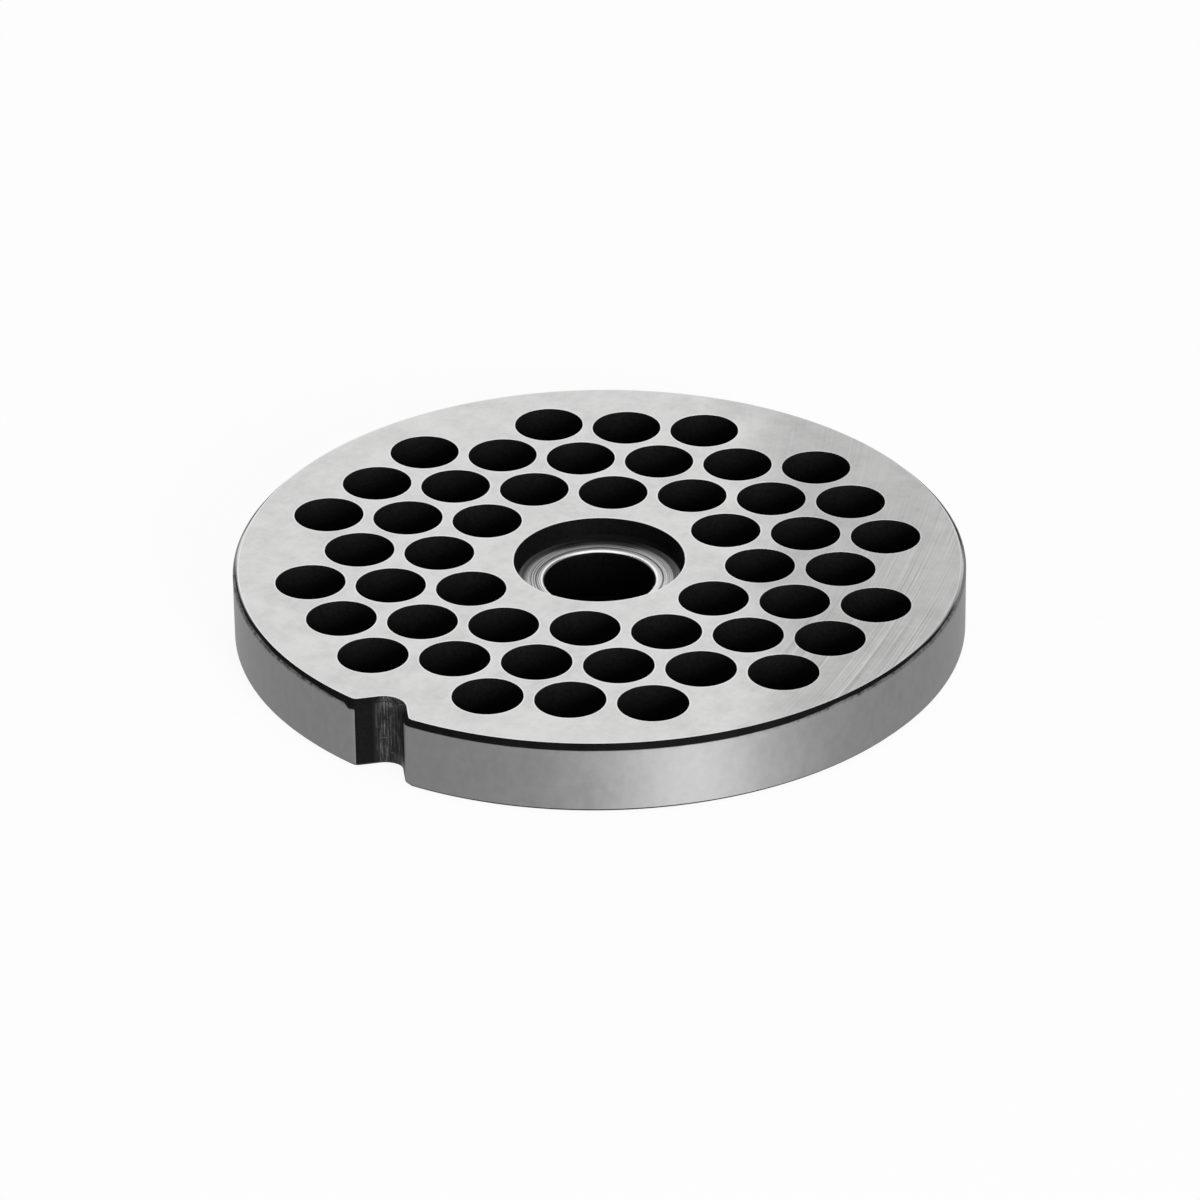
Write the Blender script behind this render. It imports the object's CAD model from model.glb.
"""Looks of a meat grinder plate: a ground and turned steel disc on a pale studio floor.

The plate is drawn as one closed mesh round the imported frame. Its zones (ground faces,
turned rim, blackened drilling, turned hub) each carry their own procedural finish.
Lengths of the plate and of every finish are millimetres, those of the studio are
metres, and the meshes are in metres.
"""

import logging
import math
from dataclasses import dataclass, field
from enum import Enum
from functools import partial, reduce

import bpy
import bmesh
from mathutils import Matrix, Vector


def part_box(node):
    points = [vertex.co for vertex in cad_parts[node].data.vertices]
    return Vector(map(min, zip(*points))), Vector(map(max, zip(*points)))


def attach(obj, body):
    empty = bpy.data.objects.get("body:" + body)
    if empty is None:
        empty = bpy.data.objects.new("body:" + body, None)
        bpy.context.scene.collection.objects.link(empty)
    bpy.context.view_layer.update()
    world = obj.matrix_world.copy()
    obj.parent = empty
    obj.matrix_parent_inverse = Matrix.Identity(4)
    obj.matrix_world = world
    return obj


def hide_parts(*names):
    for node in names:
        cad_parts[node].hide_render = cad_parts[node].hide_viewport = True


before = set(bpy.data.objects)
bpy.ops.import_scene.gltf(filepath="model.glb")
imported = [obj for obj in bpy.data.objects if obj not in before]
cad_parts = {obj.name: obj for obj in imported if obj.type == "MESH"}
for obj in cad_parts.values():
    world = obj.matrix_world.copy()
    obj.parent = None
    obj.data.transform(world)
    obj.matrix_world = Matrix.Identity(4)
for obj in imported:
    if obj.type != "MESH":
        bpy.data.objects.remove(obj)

MM = 0.001
NODE = "grinder_plate"
BODY = "root"

log = logging.getLogger("grinder_plate")

Point = tuple[float, float]
Span = tuple[float, float]
Size = tuple[float, float, float]
Colour = tuple[float, float, float, float]
Socket = bpy.types.NodeSocket
Material = bpy.types.Material
Loop = list[bmesh.types.BMVert]
Inputs = dict[str | int, object]


class Zone(Enum):
    """The differently finished zones of the plate, by material index."""

    GROUND_FACE = 0
    TURNED_RIM = 1
    DRILLED_WALL = 2
    HUB_WALL = 3
    HUB_FLOOR = 4
    BORE_MOUTH = 5
    BRIGHT_EDGE = 6
    BURNISHED_LIP = 7
    NOTCH_FLANK = 8
    NOTCH_ROOT = 9


Profile = list[tuple[float, float, Zone]]


# ---- Node graphs ----


@dataclass(frozen=True)
class Noise:
    """A smooth noise: the size of its features, its octaves and the seed of its pattern.

    Strokes on a wheel's path have a width and a length. Others have a size along each axis.
    """

    size: tuple[float, ...]
    detail: float = 2.0
    roughness: float = 0.5
    seed: float = 0.0


@dataclass(frozen=True)
class Fade:
    """A smooth change from one value to another, over a span of what drives it."""

    over: Span
    values: Span = (0.0, 1.0)


NOISE_MIDDLE = 0.5
MOST_OF_NOISE: Span = (0.3, 0.7)


def cube(size: float) -> Size:
    """The same size along each axis."""
    return size, size, size


def grey(shade: float, warmth: float = 0.0) -> Colour:
    """A grey of one linear brightness, in which red leads and blue trails by a share."""
    return shade * (1 + warmth), shade, shade * (1 - warmth), 1.0


class FinishGraph:
    """A material's node tree, with the few building blocks that the finishes share."""

    # A colour mix's factor, first and second input, and its result, by socket index.
    MIX_INPUTS = (0, 6, 7)
    MIX_RESULT = 2
    # A narrow line is fully on within this share of its half width.
    LINE_CORE = 0.3
    # Turns the stretched highlight across the marks.
    QUARTER_TURN = 0.25

    def __init__(self, name: str) -> None:
        """Start an empty material with one surface shader.

        Args:
            name: The material's name.
        """
        self.material = bpy.data.materials.new(name)
        self.material.use_nodes = True
        self.tree = self.material.node_tree
        self.tree.nodes.clear()
        self.shader = self.add("BsdfPrincipled", {})
        self.output = self.add("OutputMaterial", {"Surface": self.shader.outputs["BSDF"]})
        self.position = self.add("TexCoord", {}).outputs["Object"]

    def link(self, source: Socket, target: Socket) -> None:
        """Join one socket to another."""
        self.tree.links.new(source, target)

    def feed(self, value: object, socket: Socket) -> None:
        """Give a socket either a link or a plain value.

        Args:
            value: A node socket, or a value that the socket takes.
            socket: The input to feed.
        """
        if isinstance(value, Socket):
            self.link(value, socket)
        else:
            socket.default_value = value

    def set_constants(self, **values: float) -> None:
        """Set numbers straight on the shader, with underscores for spaces in the names."""
        for name, value in values.items():
            self.shader.inputs[name.replace("_", " ")].default_value = value

    def add(self, kind: str, inputs: Inputs, **settings: str) -> bpy.types.Node:
        """Add a node.

        Args:
            kind: Its type, without the leading ShaderNode.
            inputs: What it is fed, by socket name or index.
            **settings: Its own choices.

        Returns:
            The node.
        """
        node = self.tree.nodes.new("ShaderNode" + kind)
        for name, choice in settings.items():
            setattr(node, name, choice)
        for key, value in inputs.items():
            self.feed(value, node.inputs[key])
        return node

    def math(self, operation: str, *values: object) -> Socket:
        """One arithmetic step on sockets and numbers, by Blender's name of it."""
        return self.add("Math", dict(enumerate(values)), operation=operation).outputs[0]

    def product(self, *factors: object) -> Socket:
        """Several sockets and numbers, multiplied."""
        return reduce(partial(self.math, "MULTIPLY"), factors)

    def weighted(self, weights: tuple[object, ...], *sockets: Socket) -> Socket:
        """The sum of several sockets, each times its own weight."""
        return reduce(partial(self.math, "ADD"), map(self.product, sockets, weights))

    def split(self, vector: Socket) -> tuple[Socket, ...]:
        """The sockets of a vector's three numbers."""
        return tuple(self.add("SeparateXYZ", {0: vector}).outputs)

    def join(self, *numbers: object) -> Socket:
        """A vector of up to three numbers or sockets."""
        return self.add("CombineXYZ", dict(enumerate(numbers))).outputs[0]

    def scaled_position(self, size: Size) -> Socket:
        """The object position in units of a feature's size along each axis."""
        inputs = {"Vector": self.position, "Scale": [length * MM for length in size]}
        return self.add("Mapping", inputs, vector_type="TEXTURE").outputs["Vector"]

    def place(self) -> tuple[Socket, ...]:
        """X, Y and Z of the object position in millimetres."""
        return tuple(self.math("DIVIDE", axis, MM) for axis in self.split(self.position))

    def plan_length(self, x: Socket, y: Socket) -> Socket:
        """Length of a vector in plan."""
        return self.math("SQRT", self.weighted((x, y), x, y))

    def stroke_position(self, centre: Point, size: Span) -> Socket:
        """Coordinates that follow arcs round a far centre, as a wheel's strokes do.

        Args:
            centre: The arcs' centre in plan.
            size: How wide and how long one stroke is.

        Returns:
            A vector of strokes across and strokes along.
        """
        far = Vector((*centre, 0.0)) * MM
        turn = -math.atan2(-far.y, -far.x)
        move = -(Matrix.Rotation(turn, 3, "Z") @ far)
        inputs = {"Vector": self.position, "Location": move, "Rotation": (0.0, 0.0, turn)}
        x, y, _ = self.split(self.add("Mapping", inputs, vector_type="POINT").outputs[0])
        run = self.math("MULTIPLY", self.math("ARCTAN2", y, x), far.length)
        across = self.math("DIVIDE", self.plan_length(x, y), size[0] * MM)
        return self.join(across, self.math("DIVIDE", run, size[1] * MM))

    def ring_position(self, pitch: float = 1.0) -> Socket:
        """Distance from the plate's axis, in units of a turning groove's pitch."""
        x, y, _ = self.split(self.position)
        return self.math("DIVIDE", self.plan_length(x, y), pitch * MM)

    def side_position(self, side_deg: float) -> Socket:
        """How far a point lies towards one side of the plate, in millimetres.

        Args:
            side_deg: The side's direction in plan, from +X towards +Y.

        Returns:
            The distance's socket.
        """
        x, y, _ = self.split(self.position)
        angle = math.radians(side_deg)
        return self.weighted((math.cos(angle) / MM, math.sin(angle) / MM), x, y)

    def facing(self, side_deg: float) -> Socket:
        """How squarely a point lies towards one side or the opposite one, from 0 to 1."""
        cosine = self.math("DIVIDE", self.side_position(side_deg), self.ring_position())
        return self.math("ABSOLUTE", cosine)

    def noise(self, vector: Socket, kind: Noise) -> Socket:
        """Smooth noise with features one unit long, mostly between 0.3 and 0.7.

        Args:
            vector: Where to read it.
            kind: Its octaves, how strong the finer ones are, and its seed.

        Returns:
            The noise's socket.
        """
        inputs = {"Vector": vector, "W": kind.seed, "Scale": 1.0}
        inputs |= {"Detail": kind.detail, "Roughness": kind.roughness}
        return self.add("TexNoise", inputs, noise_dimensions="4D").outputs["Fac"]

    def grain(self, kind: Noise) -> Socket:
        """A noise with features of its own size, fixed to the object."""
        return self.noise(self.scaled_position(kind.size), kind)

    def strokes(self, centre: Point, kind: Noise) -> Socket:
        """A noise drawn out along arcs round a far centre."""
        return self.noise(self.stroke_position(centre, kind.size), kind)

    def ramp(
        self, value: Socket, low: object, high: object,
        out_low: object = 0.0, out_high: object = 1.0,
    ) -> Socket:
        """Stretch a range of one value smoothly onto another range, clamped.

        Args:
            value: The socket to stretch.
            low: Where the range starts, a number or a socket, as are the next three.
            high: Where the range ends.
            out_low: Result at the start.
            out_high: Result at the end.

        Returns:
            The stretched socket.
        """
        names = ("Value", "From Min", "From Max", "To Min", "To Max")
        inputs = dict(zip(names, (value, low, high, out_low, out_high)))
        return self.add("MapRange", inputs, interpolation_type="SMOOTHSTEP").outputs["Result"]

    def fade(self, driver: Socket, kind: Fade) -> Socket:
        """The value that a fade gives for its driver."""
        return self.ramp(driver, *kind.over, *kind.values)

    def step(self, value: Socket, edge: Socket, softness: float, values: Span) -> Socket:
        """A soft step where one value passes another.

        Args:
            value: The value that passes.
            edge: The value that it passes.
            softness: Half the width of the step.
            values: Result before and after it.

        Returns:
            The step's socket.
        """
        low = self.math("SUBTRACT", edge, softness)
        high = self.math("ADD", edge, softness)
        return self.ramp(value, low, high, *values)

    def line_at(self, value: Socket, centre: float, half_width: float) -> Socket:
        """1 on a narrow line at one value, falling softly to 0 beside it."""
        away = self.math("ABSOLUTE", self.math("SUBTRACT", value, centre))
        return self.ramp(away, half_width * self.LINE_CORE, half_width, 1.0, 0.0)

    def mix(self, factor: Socket, first: Colour | Socket, second: Colour | Socket) -> Socket:
        """A mix of two colours, the first at 0 and the second at 1."""
        inputs = dict(zip(self.MIX_INPUTS, (factor, first, second)))
        return self.add("Mix", inputs, data_type="RGBA").outputs[self.MIX_RESULT]

    def tint(self, factor: Socket, shades: Span, warmth: float = 0.0) -> Socket:
        """A grey between a dark and a light shade of linear brightness."""
        return self.mix(factor, *(grey(shade, warmth) for shade in shades))

    def shaded(self, colour: Socket, share: Socket) -> Socket:
        """A colour, darkened to a share of itself."""
        return self.mix(share, grey(0.0), colour)

    def bump(self, layers: list[tuple[Socket, float]]) -> None:
        """Stack height layers onto the surface normal.

        Args:
            layers: Height sockets, each with its depth.
        """
        normal = None
        for height, depth in layers:
            inputs = {"Height": height, "Strength": 1.0, "Distance": depth * MM}
            if normal is not None:
                inputs["Normal"] = normal
            normal = self.add("Bump", inputs).outputs["Normal"]
        self.link(normal, self.shader.inputs["Normal"])

    def turned_highlight(self, stretch: float) -> None:
        """Stretch the highlight across marks that run round the plate's axis.

        Args:
            stretch: 0 for a round highlight, up to 1.
        """
        tangent = self.add("Tangent", {}, direction_type="RADIAL", axis="Z").outputs[0]
        self.link(tangent, self.shader.inputs["Tangent"])
        self.set_constants(Anisotropic=stretch, Anisotropic_Rotation=self.QUARTER_TURN)

    def dress(self, colour: Socket, roughness: Socket) -> Material:
        """Join the colour and the roughness to the shader.

        Args:
            colour: The base colour.
            roughness: The roughness.

        Returns:
            The finished material.
        """
        self.link(colour, self.shader.inputs["Base Color"])
        self.link(roughness, self.shader.inputs["Roughness"])
        return self.material


# ---- Finishes ----


@dataclass(frozen=True)
class GroundSteel:
    """The two faces: steel ground flat, with the long fine strokes of a large wheel.

    Towards one side the wheel bit harder: the metal is darker and its strokes are deeper.
    They show there as light and dark lines too, most of all towards a second side.
    """

    name: str = "steel_ground_face"
    shade: Span = (0.58, 0.74)
    warmth: float = 0.004
    roughness: Span = (0.26, 0.36)
    mixed_range: Span = (0.36, 0.64)
    wheel_centre: Point = (-90.0, -28.0)
    main_strokes: Noise = Noise((0.13, 14.0), roughness=0.6, seed=1.0)
    broad_strokes: Noise = Noise((0.42, 24.0), detail=1.0, roughness=0.6, seed=16.0)
    fine_strokes: Noise = Noise((0.07, 4.0), seed=5.0)
    bundles: Noise = Noise((1.3, 12.0), roughness=0.6, seed=20.0)
    line_weights: Span = (0.75, 0.25)
    blotches: Noise = Noise(cube(2.2), detail=5.0, roughness=0.65)
    clouds: Noise = Noise(cube(7.0), seed=17.0)
    specks: Noise = Noise(cube(0.55), seed=9.0)
    # Of the blotches, the clouds, the specks, the fine strokes and the lines.
    mixed_weights: tuple[float, ...] = (0.54, 0.20, 0.14, 0.08, 0.08)
    deep_side_deg: float = 36.0
    deep_side: Fade = Fade((7.0, 17.0))
    deep_drift: Noise = Noise(cube(9.0), detail=1.0, seed=12.0)
    deep_drift_reach: float = 9.0
    deep_shade: float = 0.74
    shallow_depth: float = 0.001
    deepest_depth: float = 0.016
    fine_depth: float = 0.001
    lined_side_deg: float = -2.0
    lined_side: Fade = Fade((12.0, 21.0), (0.22, 1.0))
    line_contrast: float = 0.26
    bundle_contrast: Fade = Fade((0.40, 0.62), (0.25, 1.35))
    line_range: Fade = Fade((0.36, 0.66))
    line_middle: float = 0.48

    def build(self) -> Material:
        """Make the material.

        Returns:
            The material.
        """
        graph = FinishGraph(self.name)
        graph.set_constants(Metallic=1.0)
        strokes, broad, fine, bundles = (
            graph.strokes(self.wheel_centre, kind)
            for kind in (self.main_strokes, self.broad_strokes, self.fine_strokes, self.bundles))
        lines = graph.weighted(self.line_weights, strokes, broad)
        blotches, clouds, specks = map(graph.grain, (self.blotches, self.clouds, self.specks))
        mixed = graph.weighted(self.mixed_weights, blotches, clouds, specks, fine, lines)
        drift = graph.math("SUBTRACT", graph.grain(self.deep_drift), NOISE_MIDDLE)
        side = graph.math(
            "ADD", graph.side_position(self.deep_side_deg),
            graph.product(drift, self.deep_drift_reach))
        deep = graph.fade(side, self.deep_side)
        lined = graph.product(
            graph.fade(graph.side_position(self.lined_side_deg), self.lined_side),
            deep, self.line_contrast, graph.fade(bundles, self.bundle_contrast))
        swing = graph.math("SUBTRACT", graph.fade(lines, self.line_range), self.line_middle)
        share = graph.math(
            "ADD", graph.ramp(deep, 0.0, 1.0, 1.0, self.deep_shade), graph.product(swing, lined))
        least = self.shallow_depth / self.deepest_depth
        height = graph.product(strokes, graph.ramp(deep, 0.0, 1.0, least, 1.0))
        graph.bump([(height, self.deepest_depth), (fine, self.fine_depth)])
        tone = graph.tint(graph.ramp(mixed, *self.mixed_range), self.shade, self.warmth)
        rough = graph.ramp(mixed, *self.mixed_range, *self.roughness)
        return graph.dress(graph.shaded(tone, share), rough)


@dataclass(frozen=True)
class TurnedRim:
    """The rim: finely turned, with black scale left on its chamfer and just below it.

    The scale reaches lowest on two opposite sides and thins out between them, as it does
    where the rim was turned a little off the chamfer's centre. Heights are above the back
    face. Fades go by how squarely the rim faces those sides, except that stain_y goes by Y
    and smear_range by its noise.
    """

    name: str = "steel_turned_rim"
    shade: Span = (0.295, 0.355)
    roughness: Span = (0.59, 0.67)
    stretch: float = 0.66
    specular: float = 0.05
    mixed_range: Span = (0.34, 0.66)
    lines: Noise = Noise((9.0, 9.0, 0.07), seed=3.0)
    line_depth: float = 0.0006
    blotches: Noise = Noise((1.6, 1.6, 2.6), detail=5.0, roughness=0.65, seed=2.0)
    clouds: Noise = Noise((0.6, 0.6, 0.9), detail=3.0, roughness=0.6, seed=19.0)
    # Of the blotches, the clouds and the lines.
    mixed_weights: tuple[float, ...] = (0.65, 0.27, 0.08)
    bright_z: float = 5.22
    bright_softness: float = 0.04
    bright_shade: float = 0.66
    bright_roughness: float = 0.30
    scale_shade: Span = (0.003, 0.007)
    scale_side_deg: float = -60.0
    scale_share: Fade = Fade((0.02, 0.22))
    scale_foot: Fade = Fade((0.60, 0.92), (5.185, 4.975))
    scale_head: Fade = Fade((0.24, 0.60), (5.34, 5.44))
    scale_softness: float = 0.05
    wander: Noise = Noise(cube(3.0), detail=4.0, roughness=0.6, seed=14.0)
    wander_reach: Fade = Fade((0.75, 0.95), (0.26, 0.06))
    stain_x: float = -2.45
    stain_half_width: float = 0.75
    stain_y: Fade = Fade((-24.0, -20.0), (1.0, 0.0))
    stain_drop: float = 0.32
    smear_length: float = 0.40
    smear_streaks: Noise = Noise((0.5, 0.5, 1.2), detail=4.0, roughness=0.7, seed=18.0)
    smear_range: Fade = Fade((0.38, 0.60))
    smear_share: Fade = Fade((0.70, 0.92), (0.90, 0.10))

    def foot(self, graph: FinishGraph, facing: Socket) -> Socket:
        """The height down to which the scale reaches.

        Args:
            graph: The rim's node tree.
            facing: How squarely the rim faces the two sides with the most scale.

        Returns:
            The height's socket.
        """
        x, y, _ = graph.place()
        wander = graph.math("SUBTRACT", graph.grain(self.wander), NOISE_MIDDLE)
        wander = graph.product(wander, graph.fade(facing, self.wander_reach))
        foot = graph.math("ADD", graph.fade(facing, self.scale_foot), wander)
        line = graph.line_at(x, self.stain_x, self.stain_half_width)
        return graph.math(
            "SUBTRACT", foot, graph.product(line, graph.fade(y, self.stain_y), self.stain_drop))

    def scale(self, graph: FinishGraph, z: Socket) -> Socket:
        """Where the scale is: 1 on it and 0 on bare metal.

        Args:
            graph: The rim's node tree.
            z: The height.

        Returns:
            The share's socket.
        """
        facing = graph.facing(self.scale_side_deg)
        foot = self.foot(graph, facing)
        head = graph.fade(facing, self.scale_head)
        black = graph.product(
            graph.step(z, foot, self.scale_softness, (0.0, 1.0)),
            graph.step(z, head, self.scale_softness, (1.0, 0.0)))
        near = graph.ramp(z, graph.math("SUBTRACT", foot, self.smear_length), foot)
        smear = graph.product(
            near, near,
            graph.fade(graph.grain(self.smear_streaks), self.smear_range),
            graph.fade(facing, self.smear_share),
            graph.ramp(z, self.bright_z - self.bright_softness, self.bright_z, 1.0, 0.0))
        most = graph.math("MAXIMUM", black, smear)
        return graph.product(most, graph.fade(facing, self.scale_share))

    def build(self) -> Material:
        """Make the material.

        Returns:
            The material.
        """
        graph = FinishGraph(self.name)
        graph.set_constants(Specular_IOR_Level=self.specular)
        graph.turned_highlight(self.stretch)
        blotches, clouds, lines = map(graph.grain, (self.blotches, self.clouds, self.lines))
        mixed = graph.weighted(self.mixed_weights, blotches, clouds, lines)
        shade = graph.ramp(mixed, *self.mixed_range)
        z = graph.place()[2]
        bright = graph.ramp(z, self.bright_z, self.bright_z + self.bright_softness)
        metal = graph.mix(bright, graph.tint(shade, self.shade), grey(self.bright_shade))
        black = self.scale(graph, z)
        bare = graph.math("SUBTRACT", 1.0, black)
        graph.link(bare, graph.shader.inputs["Metallic"])
        graph.bump([(lines, self.line_depth)])
        satin = graph.ramp(blotches, *MOST_OF_NOISE, *self.roughness)
        rough = graph.ramp(graph.product(bright, bare), 0.0, 1.0, satin, self.bright_roughness)
        return graph.dress(graph.mix(black, metal, graph.tint(shade, self.scale_shade)), rough)


@dataclass(frozen=True)
class BlackScale:
    """Hardening scale, left where nothing was ground after the heat treatment."""

    name: str
    shade: Span
    specular: float
    roughness: Span = (0.45, 0.6)
    grain: Noise = Noise(cube(0.25), detail=3.0, roughness=0.6, seed=4.0)
    depth: float = 0.004

    def build(self) -> Material:
        """Make the material.

        Returns:
            The material.
        """
        graph = FinishGraph(self.name)
        graph.set_constants(Metallic=0.0, Specular_IOR_Level=self.specular)
        grain = graph.grain(self.grain)
        graph.bump([(grain, self.depth)])
        colour = graph.tint(graph.ramp(grain, *MOST_OF_NOISE), self.shade)
        return graph.dress(colour, graph.ramp(grain, *MOST_OF_NOISE, *self.roughness))


@dataclass(frozen=True)
class TurnedFloor:
    """The hub's floor: turned steel, bright near the bore and darker where scale stayed.

    The scale is thickest midway between two clean sides. Rings are given by their radius.
    """

    name: str = "steel_turned_floor"
    shade: Span = (0.26, 0.92)
    roughness: Span = (0.36, 0.46)
    stretch: float = 0.4
    ring_pitch: float = 0.08
    ring_depth: float = 0.003
    rings: Noise = Noise(cube(6.0), seed=6.0)
    ring_range: Span = (0.36, 0.64)
    bright_rings: tuple[float, ...] = (4.42, 4.93, 5.26)
    bright_half_width: float = 0.05
    dark_rings: tuple[float, ...] = (4.66,)
    dark_half_width: float = 0.12
    scale_from: float = 4.40
    clean_side_deg: float = 36.0
    scale_full: Fade = Fade((0.35, 0.95), (5.3, 6.4))
    scale_shade: Fade = Fade((0.35, 0.95), (0.10, 0.55))

    def build(self) -> Material:
        """Make the material.

        Returns:
            The material.
        """
        graph = FinishGraph(self.name)
        graph.set_constants(Metallic=1.0)
        graph.turned_highlight(self.stretch)
        radius = graph.ring_position()
        x, y, z = graph.split(graph.scaled_position(self.rings.size))
        place = graph.join(graph.ring_position(self.ring_pitch), graph.math("ADD", x, y), z)
        rings = graph.noise(place, self.rings)
        shade = graph.ramp(rings, *self.ring_range)
        for ring in self.bright_rings:
            bright = graph.line_at(radius, ring, self.bright_half_width)
            shade = graph.math("MAXIMUM", shade, bright)
        for ring in self.dark_rings:
            dark = graph.line_at(radius, ring, self.dark_half_width)
            shade = graph.math("MINIMUM", shade, graph.math("SUBTRACT", 1.0, dark))
        clean = graph.facing(self.clean_side_deg)
        share = graph.ramp(
            radius, self.scale_from, graph.fade(clean, self.scale_full),
            1.0, graph.fade(clean, self.scale_shade))
        graph.bump([(rings, self.ring_depth)])
        rough = graph.ramp(rings, *MOST_OF_NOISE, *self.roughness)
        return graph.dress(graph.shaded(graph.tint(shade, self.shade), share), rough)


@dataclass(frozen=True)
class BrightEdge:
    """Edges and lips that the knife and the deburring stone keep bright."""

    name: str
    shade: Span = (0.78, 0.88)
    roughness: Span = (0.18, 0.28)
    grain: Noise = Noise(cube(0.3), seed=7.0)

    def build(self) -> Material:
        """Make the material.

        Returns:
            The material.
        """
        graph = FinishGraph(self.name)
        graph.set_constants(Metallic=1.0)
        grain = graph.grain(self.grain)
        colour = graph.tint(graph.ramp(grain, *MOST_OF_NOISE), self.shade)
        return graph.dress(colour, graph.ramp(grain, *MOST_OF_NOISE, *self.roughness))


@dataclass(frozen=True)
class ScratchedScale:
    """The notch's root: black scale, rubbed through in fine upright scratches.

    The scratches die away towards the two flanks.
    """

    name: str = "scale_scratched_notch"
    shade: Span = (0.013, 0.21)
    roughness: Span = (0.38, 0.5)
    metallic: float = 0.4
    specular: float = 0.2
    scratches: Noise = Noise((0.08, 0.08, 2.4), detail=3.0, roughness=0.65, seed=8.0)
    scratch_range: Fade = Fade((0.45, 0.70))
    scratch_depth: float = 0.006
    patches: Noise = Noise((0.5, 0.5, 0.9), detail=3.0, seed=11.0)
    patch_range: Fade = Fade((0.30, 0.60))
    nicks: Noise = Noise((0.8, 0.8, 0.08), seed=15.0)
    nick_range: Fade = Fade((0.62, 0.74), (0.0, 0.8))
    fade_x: Span = (0.95, 1.32)
    flank_shade: float = 0.3

    def build(self) -> Material:
        """Make the material.

        Returns:
            The material.
        """
        graph = FinishGraph(self.name)
        graph.set_constants(Metallic=self.metallic, Specular_IOR_Level=self.specular)
        scratches = graph.grain(self.scratches)
        worn = graph.product(
            graph.fade(scratches, self.scratch_range),
            graph.fade(graph.grain(self.patches), self.patch_range))
        worn = graph.math("MAXIMUM", worn, graph.fade(graph.grain(self.nicks), self.nick_range))
        off_centre = graph.math("ABSOLUTE", graph.place()[0])
        worn = graph.product(worn, graph.ramp(off_centre, *self.fade_x, 1.0, 0.0))
        share = graph.ramp(off_centre, *self.fade_x, 1.0, self.flank_shade)
        graph.bump([(scratches, self.scratch_depth)])
        rough = graph.ramp(scratches, *MOST_OF_NOISE, *self.roughness)
        return graph.dress(graph.shaded(graph.tint(worn, self.shade), share), rough)


Finish = GroundSteel | TurnedRim | BlackScale | TurnedFloor | BrightEdge | ScratchedScale


def zone_finishes() -> dict[Zone, Finish]:
    """Choose the finish of each zone of the plate.

    Returns:
        The finishes by zone.
    """
    return {
        Zone.GROUND_FACE: GroundSteel(),
        Zone.TURNED_RIM: TurnedRim(),
        Zone.DRILLED_WALL: BlackScale("scale_drilled_wall", shade=(0.006, 0.010), specular=0.05),
        Zone.HUB_WALL: BlackScale("scale_hub_wall", shade=(0.003, 0.006), specular=0.06),
        Zone.HUB_FLOOR: TurnedFloor(),
        Zone.BORE_MOUTH: BrightEdge("steel_bore_mouth", shade=(0.90, 0.97)),
        Zone.BRIGHT_EDGE: BrightEdge("steel_bright_edge"),
        Zone.BURNISHED_LIP: GroundSteel("steel_burnished_lip", shade=(0.76, 0.84)),
        Zone.NOTCH_FLANK: BlackScale("scale_notch_flank", shade=(0.003, 0.006), specular=0.05),
        Zone.NOTCH_ROOT: ScratchedScale(),
    }


# ---- The plate's shape ----


def arc(centre: Point, radius: float, start_deg: float, end_deg: float, steps: int) -> list[Point]:
    """Points along an arc, without its last one.

    Args:
        centre: The arc's centre.
        radius: The arc's radius.
        start_deg: Angle of the first point.
        end_deg: Angle that the points lead up to.
        steps: How many points.

    Returns:
        The points in order.
    """
    points = []
    for step in range(steps):
        angle = math.radians(start_deg + (end_deg - start_deg) * step / steps)
        points.append((centre[0] + radius * math.cos(angle), centre[1] + radius * math.sin(angle)))
    return points


def circle(centre: Point, radius: float, steps: int) -> list[Point]:
    """Points round a whole circle."""
    return arc(centre, radius, 0.0, 360.0, steps)


def add_object(name: str, data: bpy.types.ID) -> bpy.types.Object:
    """Put an object into the scene.

    Args:
        name: The object's name.
        data: Its mesh, lamp or camera.

    Returns:
        The object.
    """
    item = bpy.data.objects.new(name, data)
    bpy.context.scene.collection.objects.link(item)
    return item


class OutlinePart(Enum):
    """The parts of the plate's outline that are finished differently."""

    ROOT = 0
    FLANK = 1
    RIM = 2


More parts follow.
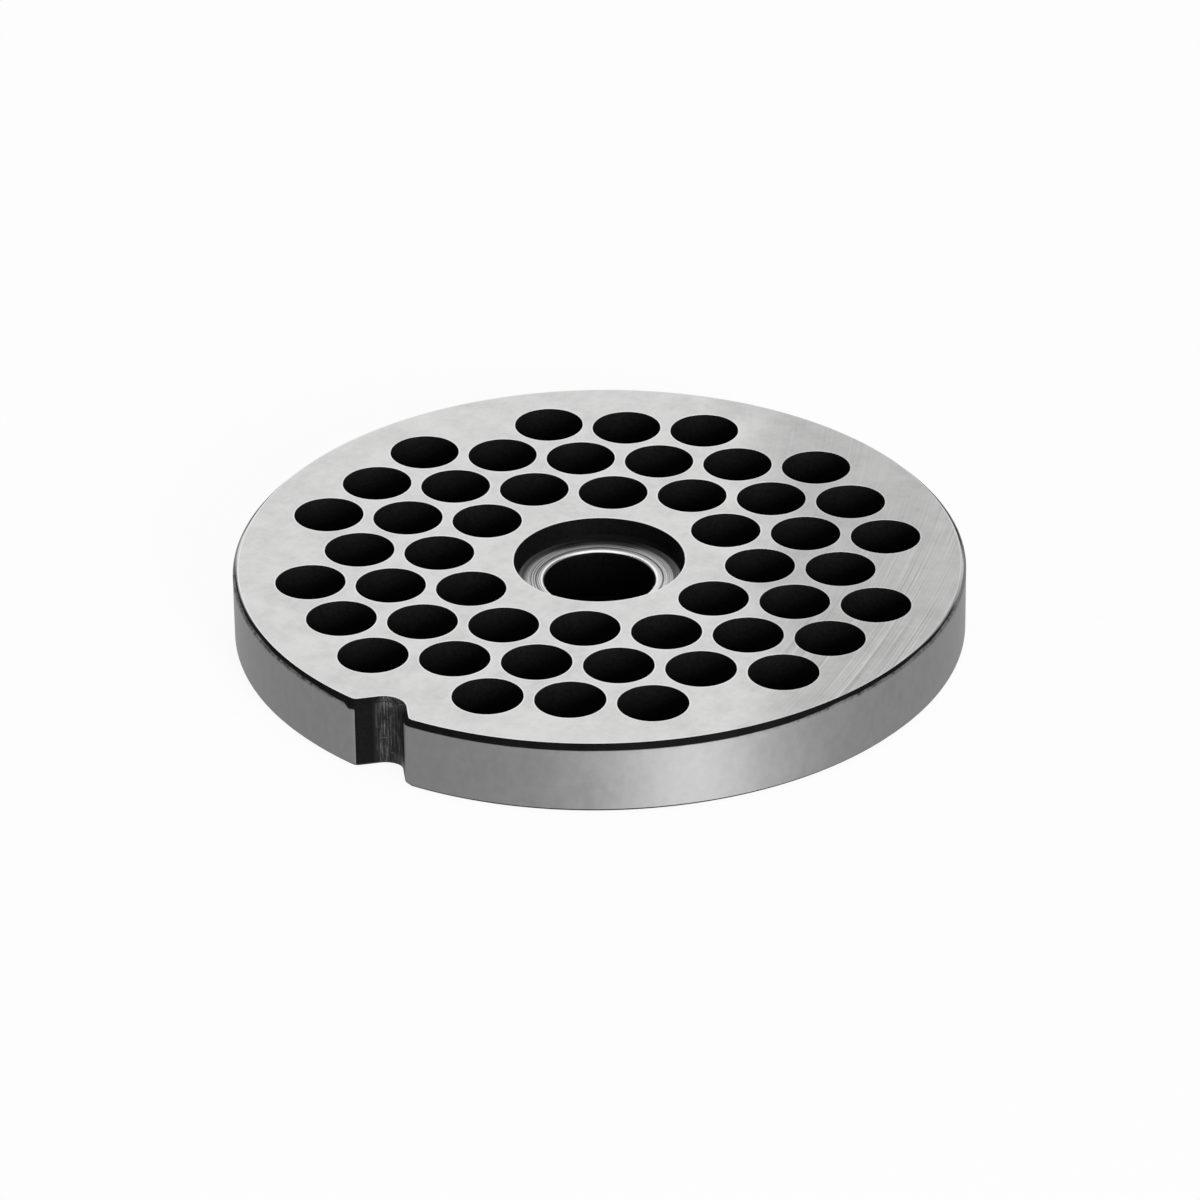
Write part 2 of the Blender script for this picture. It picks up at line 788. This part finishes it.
@dataclass
class NotchedOutline:
    """The plate in plan: the round rim, and the locating notch on -Y.

    The root's scratches reach a little way up both flanks, and the flank's scale covers a
    part of the left lip.
    """

    radius: float
    notch_depth: float = 1.95
    root_radius: float = 1.35
    flank_deg: float = 42.0
    lip_radius: float = 0.9
    root_steps: int = 12
    flank_steps: int = 3
    lip_steps: int = 10
    rim_steps: int = 420
    scratched_flank_steps: int = 1
    black_lip_steps: int = 4

    def right_half_notch(self, inset: float) -> tuple[list[Point], float]:
        """The notch from the middle of its root to the rim on its right.

        Args:
            inset: How far the outline is moved into the metal.

        Returns:
            The points, and the angle at which the rim starts.
        """
        flank = math.radians(self.flank_deg)
        into_metal = Vector((math.cos(flank), math.sin(flank)))
        along_flank = Vector((math.sin(flank), -math.cos(flank)))
        root_centre = Vector((0.0, -(self.radius - self.notch_depth + self.root_radius)))
        flank_start = root_centre + into_metal * self.root_radius
        offset = flank_start + into_metal * self.lip_radius
        half = offset.dot(along_flank)
        reach = self.radius - self.lip_radius
        run = -half + math.sqrt(half * half - offset.length_squared + reach * reach)
        lip_centre = offset + along_flank * run
        rim_deg = math.degrees(math.atan2(lip_centre.y, lip_centre.x))
        root_r = self.root_radius + inset
        lip_r = self.lip_radius - inset
        points = arc(tuple(root_centre), root_r, 90.0, self.flank_deg, self.root_steps)
        start = root_centre + into_metal * root_r
        end = lip_centre - into_metal * lip_r
        for step in range(self.flank_steps):
            points.append(tuple(start.lerp(end, step / self.flank_steps)))
        lip_deg = 180.0 + self.flank_deg
        points += arc(tuple(lip_centre), lip_r, lip_deg, 360.0 + rim_deg, self.lip_steps)
        return points, rim_deg

    def loop(self, inset: float) -> list[Point]:
        """The outline, moved into the metal by the same amount all round.

        Args:
            inset: How far to move it.

        Returns:
            The points, anticlockwise from the notch's root.
        """
        right, rim_deg = self.right_half_notch(inset)
        rim = arc((0.0, 0.0), self.radius - inset, rim_deg, 180.0 - rim_deg, self.rim_steps)
        left = [(-x, y) for x, y in reversed(right[1:] + rim[:1])]
        return right + rim + left

    def parts(self, count: int) -> list[OutlinePart]:
        """What the outline's points belong to.

        Args:
            count: How many points the outline has.

        Returns:
            The part of the outline that each point starts.
        """
        root_end = self.root_steps + self.scratched_flank_steps
        flank_end = self.root_steps + self.flank_steps
        parts = []
        for index in range(count):
            from_root = min(index, count - 1 - index)
            black_lip = self.black_lip_steps if index > count // 2 else 0
            if from_root < root_end:
                parts.append(OutlinePart.ROOT)
            elif from_root < flank_end + black_lip:
                parts.append(OutlinePart.FLANK)
            else:
                parts.append(OutlinePart.RIM)
        return parts


@dataclass
class HoleGrid:
    """The perforation: straight holes on a triangular grid, one row along Y."""

    hole_radius: float = 2.55
    pitch: float = 5.88
    nearest: float = 9.95
    farthest: float = 21.65

    def centres(self) -> list[Point]:
        """Every grid point between the hub's land and the rim's land.

        Returns:
            The holes' centres.
        """
        column_step = self.pitch * math.cos(math.radians(30))
        reach = math.ceil(self.farthest / column_step)
        found = []
        for column in range(-reach, reach + 1):
            for row in range(-reach, reach + 1):
                x = column * column_step
                y = (row + column / 2) * self.pitch
                if self.nearest <= math.hypot(x, y) <= self.farthest:
                    found.append((x, y))
        return found


@dataclass
class TurnedHub:
    """The hub: a recess with a turned floor, and the bore through it.

    Its profiles give the radius and the height of each point, and the zone of the band
    that starts there.
    """

    thickness: float
    bore_radius: float = 4.0
    recess_radius: float = 6.25
    recess_depth: float = 1.6
    corner: float = 0.25
    mouth_round: float = 0.3
    mouth_steps: int = 9
    bright_mouth_steps: int = 5
    back_chamfer: float = 0.3
    edge_break: float = 0.02
    lip_width: float = 0.09
    land_width: float = 0.34
    groove_pitch: float = 0.16
    groove_depth: float = 0.022
    outer_groove_share: float = 0.45
    points_per_groove: int = 6

    def floor_profile(self, floor_z: float) -> Profile:
        """The turned floor from its corner inwards: grooves that deepen, up to a flat land.

        Args:
            floor_z: Height of the recess's floor.

        Returns:
            The floor's points.
        """
        outer = self.recess_radius - self.corner
        inner = self.bore_radius + self.mouth_round + self.land_width
        grooves = round((outer - inner) / self.groove_pitch)
        count = grooves * self.points_per_groove
        profile = []
        for step in range(count + 1):
            share = step / count
            wave = 0.5 - 0.5 * math.cos(2 * math.pi * share * grooves)
            depth_share = self.outer_groove_share + (1 - self.outer_groove_share) * share
            z = floor_z - self.groove_depth * depth_share * wave
            profile.append((outer + (inner - outer) * share, z, Zone.HUB_FLOOR))
        return profile

    def mouth_profile(self, floor_z: float) -> Profile:
        """The bore's rounded mouth, polished by the stud down to where scale begins.

        Args:
            floor_z: Height of the recess's floor.

        Returns:
            The mouth's points.
        """
        profile = []
        for step in range(self.mouth_steps + 1):
            angle = math.radians(90.0 * step / self.mouth_steps)
            r = self.bore_radius + self.mouth_round * (1 - math.sin(angle))
            z = floor_z - self.mouth_round * (1 - math.cos(angle))
            zone = Zone.BORE_MOUTH if step < self.bright_mouth_steps else Zone.HUB_WALL
            profile.append((r, z, zone))
        return profile

    def profile(self) -> Profile:
        """The whole hub from the cutting face down to the back face.

        Returns:
            The hub's points.
        """
        floor_z = self.thickness - self.recess_depth
        edge_radius = self.recess_radius + self.edge_break
        return [
            (edge_radius + self.lip_width, self.thickness, Zone.BURNISHED_LIP),
            (edge_radius, self.thickness, Zone.BRIGHT_EDGE),
            (self.recess_radius, self.thickness - self.edge_break, Zone.HUB_WALL),
            (self.recess_radius, floor_z + self.corner, Zone.HUB_WALL),
            *self.floor_profile(floor_z),
            *self.mouth_profile(floor_z),
            (self.bore_radius, self.back_chamfer, Zone.HUB_WALL),
            (self.bore_radius + self.back_chamfer, 0.0, Zone.HUB_WALL),
        ]


@dataclass
class GrinderPlate:
    """The plate as one closed mesh, dressed zone by zone."""

    radius: float
    thickness: float
    cutting_chamfer: float = 0.35
    back_chamfer: float = 0.25
    edge_break: float = 0.015
    lip_width: float = 0.09
    hole_steps: int = 64
    hub_steps: int = 180
    sharp_deg: float = 25.0
    name: str = "steel_plate"
    mesh: bmesh.types.BMesh = field(default_factory=bmesh.new, repr=False)

    def ring(self, points: list[Point], z: float) -> Loop:
        """Vertices of one closed loop at one height."""
        return [self.mesh.verts.new((x * MM, y * MM, z * MM)) for x, y in points]

    def band(self, lower: Loop, upper: Loop, zones: list[Zone], outward: bool) -> None:
        """A wall between two loops with as many points.

        Args:
            lower: The loop nearer the back face.
            upper: The loop nearer the cutting face.
            zones: The zone of each stretch.
            outward: True where the metal lies inside the loop.
        """
        count = len(lower)
        for index in range(count):
            after = (index + 1) % count
            corners = [lower[index], lower[after], upper[after], upper[index]]
            face = self.mesh.faces.new(corners if outward else corners[::-1])
            face.material_index = zones[index].value
            face.smooth = True

    def rim_walls(self) -> tuple[Loop, Loop]:
        """The rim and the notch with their chamfers.

        Returns:
            The loops where the back face and the cutting face start.
        """
        wall = {
            OutlinePart.RIM: Zone.TURNED_RIM,
            OutlinePart.FLANK: Zone.NOTCH_FLANK,
            OutlinePart.ROOT: Zone.NOTCH_ROOT,
        }
        # The back chamfer is as black as the hub's wall, all round.
        back_edge = dict.fromkeys(OutlinePart, Zone.HUB_WALL)
        lip = dict.fromkeys(OutlinePart, Zone.BURNISHED_LIP)
        top = self.thickness
        levels = [
            (0.0, self.back_chamfer, back_edge),
            (self.back_chamfer, 0.0, wall),
            (top - self.cutting_chamfer, 0.0, wall),
            (top, self.cutting_chamfer, lip),
            (top, self.cutting_chamfer + self.lip_width, lip),
        ]
        outline = NotchedOutline(self.radius)
        rings = [self.ring(outline.loop(inset), z) for z, inset, _ in levels]
        parts = outline.parts(len(rings[0]))
        for (_, _, zones), lower, upper in zip(levels, rings, rings[1:]):
            self.band(lower, upper, [zones[part] for part in parts], outward=True)
        return rings[0], rings[-1]

    def round_wall(self, centre: Point, profile: Profile, steps: int) -> tuple[Loop, Loop]:
        """The wall of a round opening.

        Args:
            centre: The opening's centre.
            profile: The wall from one face to the other.
            steps: How many points each ring has.

        Returns:
            The loops where the back face and the cutting face start.
        """
        rings = [self.ring(circle(centre, r, steps), z) for r, z, _ in profile]
        falling = profile[0][1] > profile[-1][1]
        for (_, _, zone), first, second in zip(profile, rings, rings[1:]):
            lower, upper = (second, first) if falling else (first, second)
            self.band(lower, upper, [zone] * steps, outward=False)
        return (rings[-1], rings[0]) if falling else (rings[0], rings[-1])

    def hole_profile(self, radius: float) -> Profile:
        """A drilled hole from the back face up, with a hair of bright edge at both faces.

        Args:
            radius: The hole's radius.

        Returns:
            Radius, height and zone of each point.
        """
        edge_radius = radius + self.edge_break
        return [
            (edge_radius, 0.0, Zone.BRIGHT_EDGE),
            (radius, self.edge_break, Zone.DRILLED_WALL),
            (radius, self.thickness - self.edge_break, Zone.BRIGHT_EDGE),
            (edge_radius, self.thickness, Zone.BURNISHED_LIP),
            (edge_radius + self.lip_width, self.thickness, Zone.BURNISHED_LIP),
        ]

    def fill_face(self, loops: list[Loop], up: float) -> None:
        """A flat face between the outline and every opening in it.

        Args:
            loops: The face's boundary loops.
            up: +1 for the cutting face and -1 for the back face.
        """
        edges = []
        for loop in loops:
            for pair in zip(loop, loop[1:] + loop[:1]):
                edges.append(self.mesh.edges.get(pair))
        made = bmesh.ops.triangle_fill(
            self.mesh, edges=edges, use_beauty=True, normal=(0.0, 0.0, up))
        for item in made["geom"]:
            if isinstance(item, bmesh.types.BMFace):
                item.normal_update()
                if item.normal.z * up < 0:
                    item.normal_flip()
                item.material_index = Zone.GROUND_FACE.value
                item.smooth = True

    def build(self) -> bpy.types.Object:
        """Make the mesh, close it and dress it.

        Returns:
            The finished object.
        """
        grid = HoleGrid()
        hole = self.hole_profile(grid.hole_radius)
        hub = TurnedHub(self.thickness).profile()
        pairs = [self.rim_walls(), self.round_wall((0.0, 0.0), hub, self.hub_steps)]
        pairs += [self.round_wall(centre, hole, self.hole_steps) for centre in grid.centres()]
        self.fill_face([back for back, _ in pairs], up=-1.0)
        self.fill_face([front for _, front in pairs], up=1.0)
        data = bpy.data.meshes.new(self.name)
        self.mesh.to_mesh(data)
        self.mesh.free()
        data.set_sharp_from_angle(angle=math.radians(self.sharp_deg))
        finishes = zone_finishes()
        for zone in Zone:
            data.materials.append(finishes[zone].build())
        return add_object(self.name, data)


# ---- The studio ----


def direction_from(azimuth_deg: float, elevation_deg: float) -> Vector:
    """The direction from the plate to a point seen from it.

    Args:
        azimuth_deg: 0 is -Y and 90 is +X.
        elevation_deg: Angle above the floor.

    Returns:
        A unit vector.
    """
    azimuth = math.radians(azimuth_deg)
    elevation = math.radians(elevation_deg)
    flat = math.cos(elevation)
    return Vector((math.sin(azimuth) * flat, -math.cos(azimuth) * flat, math.sin(elevation)))


@dataclass(frozen=True)
class Softbox:
    """A soft rectangular lamp that faces the plate, turned from the camera's azimuth."""

    name: str
    turn_deg: float
    elevation_deg: float
    width: float
    height: float
    radiance: float
    distance: float = 1.0

    def build(self, front_deg: float, target: Vector) -> None:
        """Hang the lamp.

        Args:
            front_deg: The camera's azimuth.
            target: What the lamp points at.
        """
        data = bpy.data.lights.new(self.name, "AREA")
        data.shape = "RECTANGLE"
        data.size = self.width
        data.size_y = self.height
        data.energy = self.radiance * self.width * self.height * math.pi
        lamp = add_object(self.name, data)
        direction = direction_from(front_deg + self.turn_deg, self.elevation_deg)
        lamp.location = target + direction * self.distance
        lamp.rotation_mode = "QUATERNION"
        lamp.rotation_quaternion = (-direction).to_track_quat("-Z", "Y")
        lamp.visible_camera = False


@dataclass
class Studio:
    """Floor, lamps, world and camera.

    The lamps are a low wide one behind the plate, one overhead, and a small low one to
    the front right. The lens, the sensor and the grains are in millimetres.
    """

    top_centre: Vector
    camera_azimuth: float = 36.12
    camera_elevation: float = 29.53
    camera_roll: float = -0.71
    camera_distance: float = 0.5444
    camera_right: float = 0.00005
    camera_rise: float = -0.00298
    clip_planes: Span = (0.01, 50.0)
    lens: float = 223.8
    sensor_width: float = 36.0
    floor_radius: float = 7.0
    floor_upturn: float = 0.8
    upturn_steps: int = 8
    round_steps: int = 64
    floor_shade: Span = (0.94, 0.95)
    floor_grain: Noise = Noise(cube(40.0))
    floor_glow: float = 0.93
    felt_radius: float = 0.0245
    felt_height: float = 0.00003
    felt_shade: Span = (0.002, 0.006)
    felt_fuzz: Noise = Noise(cube(0.4), detail=3.0)
    world_strength: float = 0.20
    lamps: tuple[Softbox, ...] = (
        Softbox("lamp_back", 186.0, 34.0, width=1.1, height=0.8, radiance=0.80),
        Softbox("lamp_top", 0.0, 88.0, width=1.2, height=1.2, radiance=0.85),
        Softbox("lamp_front", 26.0, 14.0, width=0.32, height=0.45, radiance=22.5),
    )

    def paper(self) -> Material:
        """Pale paper, near white to the camera and in the metal, that keeps a soft shadow.

        Returns:
            The material.
        """
        graph = FinishGraph("pale_paper")
        graph.set_constants(Metallic=0.0, Specular_IOR_Level=0.0, Roughness=0.9)
        tone = graph.tint(graph.grain(self.floor_grain), self.floor_shade)
        graph.link(tone, graph.shader.inputs["Base Color"])
        glow = graph.add("Emission", {"Strength": 1.0}).outputs["Emission"]
        rays = graph.add("LightPath", {}).outputs
        seen = graph.math("MAXIMUM", rays["Is Camera Ray"], rays["Is Glossy Ray"])
        seen = graph.math("MAXIMUM", seen, rays["Is Transmission Ray"])
        inputs = {0: graph.product(seen, self.floor_glow), 1: graph.shader.outputs["BSDF"], 2: glow}
        graph.link(graph.add("MixShader", inputs).outputs[0], graph.output.inputs["Surface"])
        return graph.material

    def floor(self) -> None:
        """A wide round sheet of pale paper, turned up at its far border."""
        profile = [(self.floor_radius, 0.0)]
        for step in range(1, self.upturn_steps + 1):
            angle = math.radians(90.0 * step / self.upturn_steps)
            r = self.floor_radius + self.floor_upturn * math.sin(angle)
            profile.append((r, self.floor_upturn * (1 - math.cos(angle))))
        sheet = bmesh.new()
        rings = []
        for r, z in profile:
            points = circle((0.0, 0.0), r, self.round_steps)
            rings.append([sheet.verts.new((x, y, z)) for x, y in points])
        sheet.faces.new(rings[0])
        for inner, outer in zip(rings, rings[1:]):
            for index in range(self.round_steps):
                after = (index + 1) % self.round_steps
                sheet.faces.new((inner[index], outer[index], outer[after], inner[after]))
        data = bpy.data.meshes.new("studio_floor")
        sheet.to_mesh(data)
        sheet.free()
        data.materials.append(self.paper())
        floor = add_object("studio_floor", data)

    def felt(self) -> None:
        """A round of black felt under the plate, hidden by it except down its openings."""
        graph = FinishGraph("black_felt")
        graph.set_constants(Metallic=0.0, Specular_IOR_Level=0.0, Roughness=1.0)
        tone = graph.tint(graph.grain(self.felt_fuzz), self.felt_shade)
        graph.link(tone, graph.shader.inputs["Base Color"])
        data = bpy.data.meshes.new("studio_felt")
        points = circle((0.0, 0.0), self.felt_radius, self.round_steps)
        corners = [(x, y, self.felt_height) for x, y in points]
        data.from_pydata(corners, [], [tuple(range(len(corners)))])
        data.materials.append(graph.material)
        felt = add_object("studio_felt", data)

    def world(self) -> None:
        """Even light from all round."""
        world = bpy.data.worlds.new("studio")
        world.use_nodes = True
        background = world.node_tree.nodes["Background"]
        background.inputs["Color"].default_value = grey(1.0)
        background.inputs["Strength"].default_value = self.world_strength
        bpy.context.scene.world = world

    def camera(self) -> None:
        """The camera, a long lens from above and to one side of the notch."""
        back = direction_from(self.camera_azimuth, self.camera_elevation)
        right = Vector((0.0, 0.0, 1.0)).cross(back).normalized()
        up = back.cross(right)
        roll = math.radians(self.camera_roll)
        tilted_right = right * math.cos(roll) + up * math.sin(roll)
        tilted_up = up * math.cos(roll) - right * math.sin(roll)
        place = self.top_centre + back * self.camera_distance
        place += tilted_right * self.camera_right + tilted_up * self.camera_rise
        data = bpy.data.cameras.new("studio_camera")
        data.lens = self.lens
        data.sensor_width = self.sensor_width
        data.clip_start, data.clip_end = self.clip_planes
        camera = add_object("studio_camera", data)
        turn = Matrix((tilted_right, tilted_up, back)).transposed()
        camera.matrix_world = Matrix.Translation(place) @ turn.to_4x4()
        bpy.context.scene.camera = camera

    def build(self) -> None:
        """Set up the whole studio."""
        self.world()
        self.floor()
        self.felt()
        for lamp in self.lamps:
            lamp.build(self.camera_azimuth, self.top_centre)
        self.camera()
        bpy.context.scene.view_settings.view_transform = "Standard"


def main() -> None:
    """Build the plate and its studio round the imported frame."""
    logging.basicConfig(level=logging.INFO, format="%(name)s: %(message)s")
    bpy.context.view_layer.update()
    low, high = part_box(NODE)
    plate = GrinderPlate(radius=high.x / MM, thickness=(high.z - low.z) / MM).build()
    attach(plate, BODY)
    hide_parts(NODE)
    log.info("%s: %d faces, %d zones", plate.name, len(plate.data.polygons), len(Zone))
    Studio(top_centre=Vector((0.0, 0.0, high.z))).build()
    log.info("studio: floor, lamps and camera")


if __name__ == "__main__":
    main()
